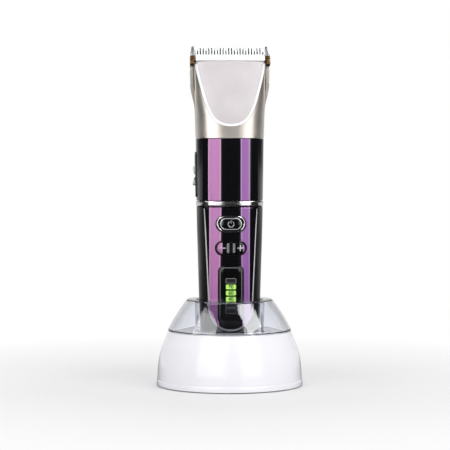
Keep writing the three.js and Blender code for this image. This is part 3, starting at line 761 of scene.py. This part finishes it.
def ribbon(name, points, width, proud, thick=0.25, closed=False):
    """A thin raised line that follows the surface."""
    count = len(points)
    rings = []
    for k, (x, z) in enumerate(points):
        a = points[(k - 1) % count] if closed or k else points[k]
        b = points[(k + 1) % count] if closed or k < count - 1 else points[k]
        length = math.dist(a, b) or 1
        nx, nz = -(b[1] - a[1]) / length, (b[0] - a[0]) / length
        loop = []
        for side, lift in ((-1, -thick), (-1, -0.04), (-0.75, 0), (0.75, 0), (1, -0.04), (1, -thick)):
            px, pz = x + nx * side * width / 2, z + nz * side * width / 2
            loop.append((px, body_form.front(px, pz, -proud - lift), pz))
        rings.append(loop)
    return make(name, rings + rings[:closed], not closed)


def pill_loop(half_x, z, half_z):
    return loop_of(160, pill(half_x, z, half_z))


bezel = rim("power_ring", pill_loop(9.5, power_z, 5.05), pill_loop(8.15, power_z, 4.4), 0.5, 1.5)
place(bezel, "handset", "chrome", CHROME, "power_bezel")
key = patch("power_key_cap", body_form, pill(7.8, power_z, 4.15), ((-3.7, power_z), (3.7, power_z)),
            0.45, 0.7, 2.2, 0.15)
place(key, "power_key", "purple_gloss", BLACK, "power_button")
key_line = ribbon("power_key_line", pill_loop(6.7, power_z, 3.5), 0.5, 0.6, 0.2, True)
place(key_line, "power_key", "chrome", ICON)

well = rim("adjust_well", pill_loop(10.1, adjust_z, 4.6), pill_loop(9.3, adjust_z, 3.85), 0.3, 1.5)
place(well, "handset", "black_gloss", BLACK, "adjust_bezel")


def half_pill(side, z, half_x, half_z, gap):
    """Outline of one half of a pill, flat on its inner side."""
    radius, corner = half_z - 0.01, 0.5
    rise = half_z - corner - 0.01
    points = arc_run(half_x - radius, z, radius, -90, 90, 25)
    points += arc_run(gap + corner, z + rise, corner, 90, 180, 7)
    points += arc_run(gap + corner, z - rise, corner, 180, 270, 7)
    return loop_of(110, [(side * px, pz) for px, pz in points])


def mark_line(name, body, points, width=0.7, proud=0.6):
    """One stroke of the mark on a key."""
    place(ribbon(name, points, width, proud), body, "chrome", ICON)


MARK_HALF = 1.9     # half the length of a stroke, and the radius of the arc
MINUS_X, PLUS_X = -5.2, 6.0
for name, side, mark in (("minus", -1, MINUS_X), ("plus", 1, PLUS_X)):
    body = f"{name}_key"
    shape = half_pill(side, adjust_z, 9.0, 3.6, 0.75)
    spine = ((side * 4.2, adjust_z), (side * 5.6, adjust_z))
    cap = patch(f"{name}_key_cap", body_form, shape, spine, 0.45, 0.6, 2.2, 0.1)
    place(cap, body, "purple_gloss", KEY, f"{name}_button")
    # a raised strip at each key's inner end, in the grey of a painted highlight of the key's edge
    ridge = rounded_rect(*sorted((side * 1.15, side * 2.75)), adjust_z - 3.1, adjust_z + 3.1, 0.7, 0.3)
    spine = ((side * 1.95, adjust_z - 2.2), (side * 1.95, adjust_z + 2.2))
    place(patch(f"{name}_ridge", body_form, ridge, spine, 0.85, 0.35, 0.2), body, "chrome", KEY_EDGE_HIGHLIGHT)
    mark_line(f"{name}_bar", body, [(x, adjust_z) for x in spaced(mark - MARK_HALF, mark + MARK_HALF, 21)])
upright = [(PLUS_X, z) for z in spaced(adjust_z - MARK_HALF, adjust_z + MARK_HALF, 21)]
mark_line("plus_upright", "plus_key", upright, proud=0.62)

arc = arc_run(0, power_z - 0.15, MARK_HALF, 125, 415, 41)
mark_line("power_mark_arc", "power_key", arc, 0.45, 0.66)
stem = [(0, z) for z in spaced(power_z + 0.3, power_z + 2.3, 9)]
mark_line("power_mark_stem", "power_key", stem, 0.45, 0.66)

# ---- display


def display_loop(grow):
    return loop_of(240, display_pad(grow, grow))


surround = rim("display_surround", display_loop(1.5), display_loop(0.35), 0.22, 1.6, 0.35)
place(surround, "handset", "black_gloss", BLACK, "display_frame")
border = display_loop(0.42)
lowest = min(range(240), key=lambda k: (border[k][1], abs(border[k][0])))
border = [p for p in border[lowest:] + border[:lowest] if p[1] > win_z0 + 2.5]
place(ribbon("display_line", border, 0.34, 0.24, 0.2), "handset", "black_gloss", PRINT)
glass = patch("display_pane", body_form, display_pad(0, 0), ((0, win_z1 - 8), (0, win_z0 + 8)), 0.0, 0.2, 0.9)
place(glass, "handset", "display_glass", BLACK, "display_window")

BAR_TOP, BAR_PITCH = 69.1, 3.95
BAR_HALF_X, BAR_HALF_Z = 3.25, 1.5
LEVELS = {1: "80", 2: "60", 3: "40"}     # the lit bars, counted from the top, and their digits
for k in range(6):
    z = BAR_TOP - k * BAR_PITCH
    edges = -BAR_HALF_X, BAR_HALF_X, z - BAR_HALF_Z, z + BAR_HALF_Z
    bar = patch(f"level_bar_{k + 1}", body_form, rounded_rect(*edges, 0.35, 0.4), ((-1.9, z), (1.9, z)),
                0.06, 0.05, 0.2, rings=4)
    place(bar, "handset", "level_guide", GREEN if k in LEVELS else UNLIT)
    border = rounded_rect(*edges, 0.4, 0.5)
    place(ribbon(f"level_outline_{k + 1}", border, 0.3, 0.08, 0.2, True), "handset", "level_guide",
          GREEN_EDGE if k in LEVELS else PRINT)


def digits(name, text, z, height):
    """Raised digits that follow the front of the body."""
    curve = bpy.data.curves.new(name, "FONT")
    curve.body, curve.size, curve.align_x, curve.align_y = text, height * MM / 0.7, "CENTER", "CENTER"
    curve.extrude, curve.offset = 0.00006, 0.00008
    holder = add(name + "_curve", curve)
    mesh = evaluated(holder)
    bpy.data.objects.remove(holder)
    obj = add(name, mesh)
    for v in mesh.vertices:
        px, pz, lift = v.co.x / MM, v.co.y / MM + z, v.co.z / MM
        v.co = Vector((px, body_form.front(px, pz, -0.1 - lift), pz)) * MM
    clean(obj)
    place(obj, "handset", "level_guide", DIGIT)


for k, text in LEVELS.items():
    digits(f"level_digits_{text}", text, BAR_TOP - k * BAR_PITCH, 2.3)

# ---- slider


def side_x(y, z, inset):
    half, front, back = (v - inset for v in body_form.at(z))
    depth = front if y < 0 else back
    return -half * (1 - min(abs(y) / depth, 1) ** BODY_POWER) ** (1 / BODY_POWER)


def centre_of(outline):
    return [sum(values) / len(outline) for values in zip(*outline)]


def side_patch(name, outline, inset, back, edge):
    """A piece that follows the left side surface inside an outline in Y and Z."""
    centre = centre_of(outline)

    def ring(inward, scale, depth):
        points = [drawn_in(p, centre, inward, scale) for p in outline]
        return [(side_x(y, z, depth), y, z) for y, z in points]

    behind = [[(back, *drawn_in(p, centre, 0, 1 - k / 3)) for p in outline] for k in range(3, -1, -1)]
    shown = [ring(inward, 1, inset + drop) for inward, drop in quarter(edge)]
    shown += [ring(edge, 1 - k / 6, inset) for k in range(1, 7)]
    return make(name, behind + shown, False)


def extrude_y(name, outline, y0, y1, soft):
    """Extrudes an outline in X and Z along Y, with rounded end edges."""
    centre = centre_of(outline)

    def ring(y, inward):
        return [(x, y, z) for x, z in (drawn_in(p, centre, inward) for p in outline)]

    near = [ring(y0 + up, inward) for up, inward in quarter(soft)]
    far = [ring(y1 - up, inward) for up, inward in reversed(quarter(soft))]
    tips = [[(centre[0], y, centre[1])] * len(outline) for y in (y0, y1)]
    return make(name, tips[:1] + near + far + tips[1:], False)


thumb_low, thumb_high = mm_box("taper_slider")
bezel_outline = rounded_rect(-4.75, 4.75, slider_low[2], slider_high[2], 1.4, 0.5)
bezel = side_patch("slider_surround", bezel_outline, -0.8, -21.05, 0.5)
SLOT_LOW, SLOT_HIGH, FLANGE_MARGIN = 130.1, 150.2, 0.9
slot = side_patch("slot", rounded_rect(-3.5, 3.5, SLOT_LOW, SLOT_HIGH, 0.8, 0.5), -5, -20, 0.05)
room = block("flange_room", (-21.95, -4.3, SLOT_LOW - FLANGE_MARGIN), (-20, 4.3, SLOT_HIGH + FLANGE_MARGIN))
boolean(bezel, [slot, room], smooth=30)
place(bezel, "handset", "black_gloss", BLACK, "slider_bezel")

# the concave thumb from the side, from its lower end up
thumb = [(-21.3, 130.4), (-23.5, 130.5), (-24.0, 131.3), (-23.9, 132.7), (-22.9, 134.1), (-22.6, 136.0),
         (-22.7, 137.7), (-23.2, 139.1), (-23.95, 140.4), (-23.95, 142.0), (-23.4, 142.9), (-21.3, 143.4)]
grip = extrude_y("slider_thumb", loop_of(120, smooth_run(thumb)), -3.2, 3.2, 0.5)
flange = block("thumb_flange", (-21.65, -4.0, thumb_low[2]), (-21.05, 4.0, thumb_high[2]))
boolean(grip, flange, "UNION", smooth=40)
place(grip, "taper_slide", "champagne", THUMB, "taper_slider")
paint(grip, BLACK, lambda face: face.center.z / MM < 132.6 or face.center.x / MM > -22.2)

# ---- head

head_low, head_high = mm_box("head_front_shell")
cover_low, cover_high = mm_box("head_rear_cover")
plate_top = mm_box("face_plate")[1][2]


def plate_outline(grow):
    side = [(23.0, 210.8), (22.3, 205.2), (20.6, 198.0), (18.8, 191.0), (16.6, 183.4), (14.9, 179.1)]
    run = smooth_run(side, 8)[:-1] + bezier(side[-1], (12.8, 174.2), (9.4, 168.5), (0, 168.5), 30)
    points = [(x + grow * (x > 0.5), z - grow * (z < 172)) for x, z in run]
    return loop_of(320, mirrored(points))


PLATE_SPINE, PLATE_PROUD = ((0, 203), (0, 186)), 0.8
rows = levels_with_rims(head_low[2], head_high[2], 40, 0.35)
front_head = shell("head_front", head_form, rows, 200, y_high=head_high[1])
recess = patch("recess", head_form, plate_outline(GAP), PLATE_SPINE, proud=12.0, edge=0.0, back=0.8, rings=8)
boolean(front_head, recess)
place(true_normals(front_head, head_form), "handset", "champagne", CHAMPAGNE, "head_front_shell")

plate = patch("head_plate", head_form, plate_outline(0), PLATE_SPINE, PLATE_PROUD, back=0.5, rings=14,
              chamfer=(1.6, 0.65))
place(true_normals(plate, head_form, -PLATE_PROUD), "handset", "face_plate", PLATE, "face_plate")
# paints the plate's chamfer near white and glowing: a painted highlight
paint_chamfer(plate, head_form, PLATE_EDGE_HIGHLIGHT, top=plate_top - 1.8)


def cover_loop(z, extra, y_cut, solid):
    """One level of the rear cover: out along the skin, then back along the wall, or straight across."""
    out = section(cover_form, z, extra, 200, y_cut)
    if solid:
        return out + [(x, y_cut, z) for x in spaced(out[-1][0], out[0][0], 200)]
    return out + section(cover_form, z, WALL, 200, y_cut)[::-1]


SPLIT, STEP_Z, STEP_Y, ROOF_Z = cover_low[1], 208.2, 0.6, 212.2
loops = [cover_loop(z, extra, SPLIT, False)
         for z, extra in levels_with_rims(cover_low[2], STEP_Z, 36, 0.35, inset_high=False)]
loops += [cover_loop(z, 0, STEP_Y, False) for z in spaced(STEP_Z, ROOF_Z, 4)]
loops += [cover_loop(z, extra, STEP_Y, True)
          for z, extra in levels_with_rims(ROOF_Z, cover_high[2], 4, 0.5, inset_low=False)]
rear_cover = make("head_rear", loops)
boolean(rear_cover, block("lever_slot", (-4.4, -2, 211), (4.4, 4.6, 220)))


def flank_groove(side, z, width, depth):
    """A cutter for a shallow groove across one flank of the rear cover."""
    loops = []
    for level in (z - width / 2, z + width / 2):
        loop = []
        for inset, turns in ((-2, range(41)), (depth, range(40, -1, -1))):
            half, front, back = (v - inset for v in cover_form.at(level))
            for k in turns:
                a = math.radians(-80 + 120 * k / 40)
                reach = front if a < 0 else back
                loop.append((side * half * math.cos(a) ** (2 / HEAD_POWER),
                             math.copysign(reach * abs(math.sin(a)) ** (2 / HEAD_POWER), a), level))
        loops.append(loop)
    return make("flank_groove", loops, smooth=False)


boolean(rear_cover, [flank_groove(side, z, 0.7, 0.45) for z in (197.6, 206.2) for side in (-1, 1)])
place(true_normals(rear_cover, cover_form), "handset", "champagne", CHAMPAGNE, "head_rear_cover")

# ---- blades

LEAN = math.radians(18)
PIVOT = (0.0, -9.0, 211.2)


def leaned(x, w, v):
    """From the blade's own frame (w back from its face, v up along it) to the object's."""
    y, z = w * math.cos(LEAN) + v * math.sin(LEAN), v * math.cos(LEAN) - w * math.sin(LEAN)
    return (x, PIVOT[1] + y, PIVOT[2] + z)


def toothed(half, v0, v1, gaps, pitch, width, depth, flare, flare_run, corner):
    """Outline of a blade with rounded gap roots, in x and v, starting at the lower left."""
    end = [(-half, v0 + corner), (-half, v1 - 1.0), (-half + 0.15, v1 - 0.3), (-half + 0.4, v1)]
    points, r = list(end), width / 2
    for k in range(gaps):
        x = (k - (gaps - 1) / 2) * pitch
        points += [(x - flare, v1), (x - r, v1 - flare_run), (x - r, v1 - depth + r)]
        points += [(x - r * math.cos(a), v1 - depth + r - r * math.sin(a)) for a in
                   (math.pi * j / 8 for j in range(1, 8))]
        points += [(x + r, v1 - depth + r), (x + r, v1 - flare_run), (x + flare, v1)]
    points += [(-x, v) for x, v in reversed(end)]
    return points + [(half - corner, v0), (-half + corner, v0)]


def blade(name, outline, w0, w1, taper_from, taper_to, soft):
    """A blade plate whose tooth tips get thinner towards the top, with eased edges."""
    flat = make(name, [[(x, w, v) for x, v in outline] for w in (w0, w1)], smooth=False)
    top, clear = max(v for _, v in outline), 60
    side = [(w0 - 1, taper_from - 0.001), (w0, taper_from), (w0 + taper_to, top),
            (w0 + taper_to * 1.1, top + 0.4), (w0 - 1, top + 0.4)]
    wedge = make("wedge", [[(x, w, v) for w, v in side] for x in (-clear, clear)], smooth=False)
    boolean(flat, wedge, smooth=None)
    rounded(flat, soft, 2, 25)
    for v in flat.data.vertices:
        v.co = Vector(leaned(*(v.co / MM))) * MM
    flat.data.update()
    return flat


comb_outline = toothed(half=22.4, v0=0.1, v1=10.0, gaps=24, pitch=1.84, width=0.8, depth=5.9,
                       flare=0.45, flare_run=0.8, corner=0.4)
comb = blade("comb_plate", comb_outline, 0, 1.5, taper_from=6.4, taper_to=0.6, soft=0.1)
place(comb, "comb", "comb_steel", GROUND, "comb_blade")

# the cutter's toothed bar is wider than the foot that its yoke holds
CUTTER_HALF, CUTTER_FACE, ROOT_V, FOOT_HALF = 20.2, 1.8, 5.3, 17
teeth = toothed(CUTTER_HALF, ROOT_V - 0.2, 9.55, gaps=15, pitch=2.6, width=0.9, depth=3.5,
                flare=0.68, flare_run=1.2, corner=0.2)[1:-3]
cutter_foot = [(CUTTER_HALF, ROOT_V), (FOOT_HALF, ROOT_V), (FOOT_HALF, 0.6)]
cutter_foot += [(-x, v) for x, v in reversed(cutter_foot)]
cutter = blade("cutter_plate", teeth + cutter_foot, CUTTER_FACE, 3.4, taper_from=7.2, taper_to=0.5, soft=0.08)
place(cutter, "cutter", "cutter_ceramic", CERAMIC, "moving_cutter")
# the cutter's upper part, tips included, painted dark: painted shade in the top of the comb's gaps
paint(cutter, CUTTER_TIP_SHADE, lambda face: face.center.z / MM > leaned(0, CUTTER_FACE, 5.6)[2])


def refined(node, body, slot, material, width, segments=2):
    """The same solid with its edges eased, as a real moulding or turned part has them."""
    source = frame["nodes"][node]
    mesh = source.data.copy()
    mesh.transform(source.matrix_world)
    obj = add(node + "_eased", mesh)
    bm = bmesh.new()
    bm.from_mesh(mesh)
    bmesh.ops.remove_doubles(bm, verts=bm.verts, dist=1e-6)
    bmesh.ops.dissolve_limit(bm, angle_limit=math.radians(1), verts=bm.verts, edges=bm.edges)
    bm.to_mesh(mesh)
    bm.free()
    rounded(obj, width, segments, 30)
    place(obj, body, slot, material, node)


refined("blade_carrier", "handset", "steel", STEEL, 0.18)
for k in (1, 2):
    refined(f"blade_guide_{k}", "handset", "guide_brass", BRASS, 0.2)
    refined(f"comb_screw_{k}", "comb", "steel", STEEL, 0.12)
    refined(f"body_screw_{k}", "handset", "steel", STEEL, 0.12)
refined("cutter_yoke", "cutter", "black_matte", MATT_BLACK, 0.2)

# ---- charging stand


def column(name, levels, count):
    """A solid of the handset's section, with an inset for each level."""
    return make(name, [section(body_form, z, inset, count) for z, inset in levels])


cover_profile = [(40.3, 36.1), (38.15, 40.2), (35.1, 45.4), (31.8, 50.6), (28.6, 55.0)]
lip = [(27.5 + 0.55 * math.cos(a), 55.35 + 0.6 * math.sin(a)) for a in map(math.radians, spaced(10, 90, 7))]
cover_inside = [(12.0, 55.98), (12.0, 54.4), (26.4, 54.4), (29.8, 50.2), (33.2, 45.0), (38.2, 36.1)]
cone = lathe("cover_cone", smooth_run(cover_profile) + lip + cover_inside, 200)
boolean(cone, column("cover_sleeve", [(z, -2.8) for z in spaced(36.4, 54.9, 12)], 160), "UNION", None)
flare = [(z, -1.2 - max(0, z - 55.2) * 0.9) for z in spaced(30, 60, 18)]
boolean(cone, column("socket", flare, 200), smooth=30)
place(cone, "stand", "clear", CLEAR, "stand_cover")

foot_ring = [(45.1, 0.3), (47.3, 0.3), (47.55, 0.4), (47.7, 0.65), (47.7, 3.2), (47.65, 3.45), (47.5, 3.65),
             (47.35, 3.75)]
bowl = [(47.27, 3.95), (47.2, 6.0), (46.9, 12.0), (46.05, 18.0), (45.0, 22.0), (43.8, 26.0), (42.2, 30.0),
        (40.6, 34.4)]
deck = [(40.45, 34.9), (40.2, 35.35), (39.7, 35.6), (30, 35.6), (12, 35.6), (12, 33.2), (38.2, 33.2)]
bowl_inside = [(42.0, 24.0), (44.4, 14.0)]
INLET_Z = 12.5
base = lathe("base_bowl", foot_ring + smooth_run(bowl) + deck + bowl_inside, 220)
boolean(base, [column("deck_hole", [(30, -3.2), (38, -3.2)], 200),
               prism("inlet_hole", circle(INLET_Z, 3.9, 48), 30, 60)], smooth=30)
place(base, "stand", "white_gloss", WHITE, "stand_base")

refined("charge_seat", "stand", "white_gloss", WHITE, 0.4, 3)
refined("power_inlet", "stand", "black_matte", MATT_BLACK, 0.2)
for k, side in ((1, "left"), (2, "right")):
    refined(f"charge_pin_{k}", f"charge_pin_{side}", "contact_gold", GOLD, 0.15)
    refined(f"stand_screw_{k}", "stand", "steel", STEEL, 0.12)
for k in (1, 2, 3, 4):
    refined(f"foot_{k}", "stand", "rubber", RUBBER, 0.3, 3)

# ---- frame nodes that stay, with a finish for their slot or of their own

finishes = {"steel": STEEL, "contact_gold": GOLD, "board_green": BOARD, "cell_wrap": CELL}
own = {"drive_lever": STEEL, "drive_bracket": MATT_BLACK,
       "level_guide": matt("guide_plastic", (0.02, 0.022, 0.02), 0.4)}
for part in frame["record"]["subparts"]:
    material = own.get(part["node"], finishes.get(part["material_slot"], MATT_BLACK))
    for slot in frame["nodes"][part["node"]].material_slots:
        slot.material = material

# ---- floor, light and camera


LIT = (0, 0, 0.12)     # where the lights point


def aimed(obj, place_at, aim):
    obj.location = place_at
    obj.rotation_euler = (Vector(aim) - Vector(place_at)).to_track_quat("-Z", "Y").to_euler()
    return obj


def lamp(name, place_at, size, power):
    data = bpy.data.lights.new(name, "AREA")
    data.shape, data.size, data.size_y, data.energy = "RECTANGLE", *size, power
    return aimed(add(name, data), place_at, LIT)


def floor_material():
    """Pale matt floor that fades to white away from the object; mirrored, dark in front and pale behind."""
    s = Shade("pale_floor", (0.76, 0.76, 0.765), 0.7)
    grain = s.noise(300, 3)
    s.tint(s.noise(6, 3), (0.75, 0.75, 0.755), (0.77, 0.77, 0.775))
    s.rough_from(grain, 0.62, 0.78).bump(grain, 0.02, 0.0001)
    reach = s.node("ShaderNodeVectorMath", operation="LENGTH")
    split = s.node("ShaderNodeSeparateXYZ")
    plain, unseen = s.node("ShaderNodeEmission"), s.node("ShaderNodeEmission")
    rays = s.node("ShaderNodeLightPath")
    s.link(s.coords, reach.inputs[0])
    s.link(s.coords, split.inputs[0])
    s.link(s.ramp(split.outputs["Y"], 0.12, 0.60, 0.012, 0.7), unseen.inputs["Strength"])
    away = s.ramp(reach.outputs["Value"], 0.10, 0.32)
    shown = s.either(away, s.shader.outputs[0], plain.outputs[0])
    in_gloss = s.math("GREATER_THAN", rays.outputs["Glossy Depth"], 0.5)
    s.link(s.either(in_gloss, shown, unseen.outputs[0]), s.tree.nodes["Material Output"].inputs["Surface"])
    return s.material


mesh = bpy.data.meshes.new("studio_floor")
bm = bmesh.new()
bmesh.ops.create_grid(bm, x_segments=24, y_segments=24, size=7.0)
bm.to_mesh(mesh)
bm.free()
floor = add("studio_floor", mesh)
floor.location.z = cad_low[2] - 0.0002
mesh.materials.append(floor_material())

world = bpy.data.worlds.new("studio")
world.use_nodes = True
bpy.context.scene.world = world
sky = Nodes(world.node_tree)
sky.tree.nodes.clear()
rays = sky.node("ShaderNodeLightPath").outputs
split = sky.node("ShaderNodeSeparateXYZ")
sky.link(sky.node("ShaderNodeTexCoord").outputs["Generated"], split.inputs[0])


def sky_light(strength):
    n = sky.node("ShaderNodeBackground")
    sky.fill(n.inputs, ((1.0, 1.0, 1.0), strength))
    return n.outputs[0]


# plain white behind the object, also through clear plastic; soft light for matt surfaces
seen = sky.math("ADD", rays["Is Camera Ray"], rays["Is Transmission Ray"], clamp=True)
direct = sky.either(seen, sky_light(0.6), sky_light(1.0))
# in anything mirrored, a pale backdrop behind the object and a dark room in front of it
room = sky_light(sky.ramp(split.outputs["Y"], 0.60, 0.95, 0.03, 0.72))
in_mirror = sky.math("GREATER_THAN", rays["Glossy Depth"], 0.5)
sky.link(sky.either(in_mirror, direct, room), sky.node("ShaderNodeOutputWorld").inputs["Surface"])


def softbox(name, azimuth, height, distance, size, radiance):
    """A tall panel that faces the object; azimuth 0 is straight in front and positive is to the right."""
    a = math.radians(azimuth)
    at = (distance * math.sin(a), -distance * math.cos(a), height)
    # a panel's power for a wanted brightness: radiance times pi times its area
    return lamp(name, at, size, radiance * math.pi * size[0] * size[1])


# panels that only show as reflections, and lights that only light
for panel_light in (softbox("softbox_left", -32.9, 0.30, 1.0, (0.86, 1.3), 1.7),
                    softbox("softbox_right", 32.5, 0.30, 1.0, (0.61, 1.3), 1.7),
                    softbox("cover_right", 58, 0.92, 0.62, (0.55, 0.47), 9.0),
                    softbox("cover_left", -62, 0.80, 0.74, (0.72, 0.33), 4.5),
                    softbox("rim_left", -124, 0.15, 0.95, (0.08, 0.9), 0.35),
                    softbox("rim_right", 124, 0.15, 0.95, (0.08, 0.9), 0.5)):
    panel_light.visible_diffuse = False
for key in (softbox("key_right", 42, 0.40, 1.3, (0.9, 1.2), 1.7),
            softbox("key_left", -48, 0.40, 1.3, (0.9, 1.2), 0.9),
            lamp("overhead", (0, 0.1, 1.3), (1.4, 1.4), 11)):
    key.visible_glossy = key.visible_transmission = False

camera_data = bpy.data.cameras.new("camera")
camera_data.sensor_width, camera_data.lens = 36, 141.0
camera_data.clip_start, camera_data.clip_end = 0.05, 60
camera = add("camera", camera_data)
bpy.context.scene.camera = aimed(camera, (-0.060, -1.15, 0.147), (-0.0030, 0, 0.1045))
bpy.context.scene.view_settings.view_transform = "Standard"
